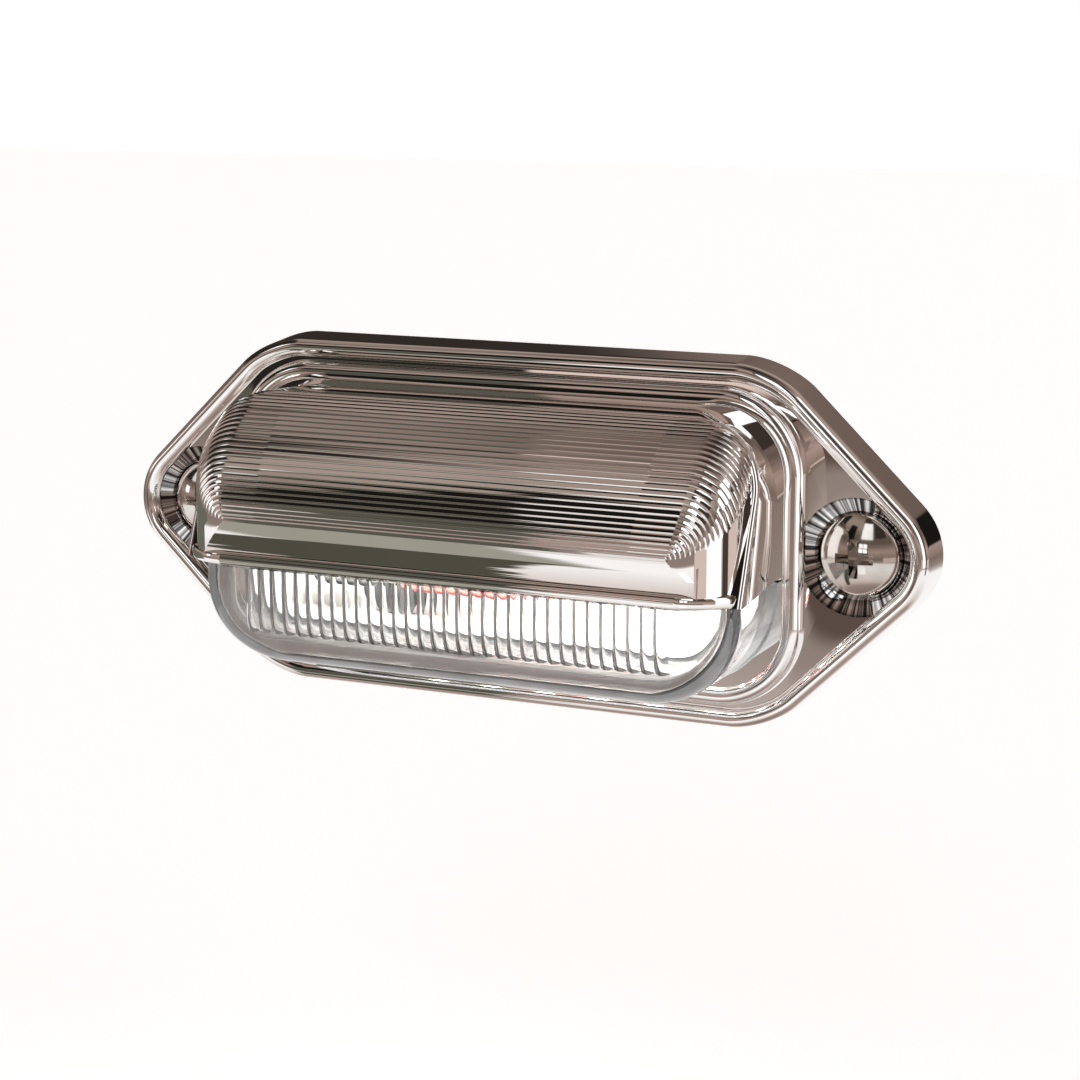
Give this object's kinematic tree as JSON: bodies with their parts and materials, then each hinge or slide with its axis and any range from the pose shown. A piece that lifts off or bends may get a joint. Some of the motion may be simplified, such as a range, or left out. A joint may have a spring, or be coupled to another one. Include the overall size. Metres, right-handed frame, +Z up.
{
  "type": "surface-mounted hooded interior light",
  "caption": "Surface-mounted interior light: a chromed hexagonal flange with a ribbed hood over a clear fluted lens, screwed down through both ends.",
  "frame": {"origin": "middle of the mounting gasket's back face, halfway between the two fixing screws", "axes": "+X along the length, to the right as seen from the front; the front faces -Y; +Z up, with the hood above the lens"},
  "size_m": [0.0768, 0.0321, 0.0322],
  "materials": {
    "chrome_shell": "mirror bright plating over a moulding",
    "clear_lens": "clear, polished",
    "seal_rubber": "matt black rubber",
    "base_white": "white moulding",
    "gasket_foam": "closed-cell foam rubber",
    "grommet_rubber": "matt black rubber",
    "board_mask": "white solder mask",
    "led_body": "white body with a phosphor face",
    "resistor_body": "black film on ceramic",
    "diode_body": "moulded epoxy",
    "red_insulation": "smooth insulation",
    "black_insulation": "smooth insulation",
    "zinc_screw": "zinc plated",
    "chrome_screw": "polished plating"
  },
  "bodies": {
    "root": {"cover": "chrome_shell", "lens": "clear_lens", "lens_seal": "seal_rubber", "base": "base_white", "mounting_gasket": "gasket_foam", "grommet": "grommet_rubber", "led_board": "board_mask", "led_1": "led_body", "led_2": "led_body", "led_3": "led_body", "led_4": "led_body", "led_5": "led_body", "led_6": "led_body", "resistor_1": "resistor_body", "resistor_2": "resistor_body", "diode": "diode_body", "red_lead": "red_insulation", "black_lead": "black_insulation", "board_screw_left": "zinc_screw", "board_screw_right": "zinc_screw", "screw_left": "chrome_screw", "screw_right": "chrome_screw"}
  },
  "joints": []
}
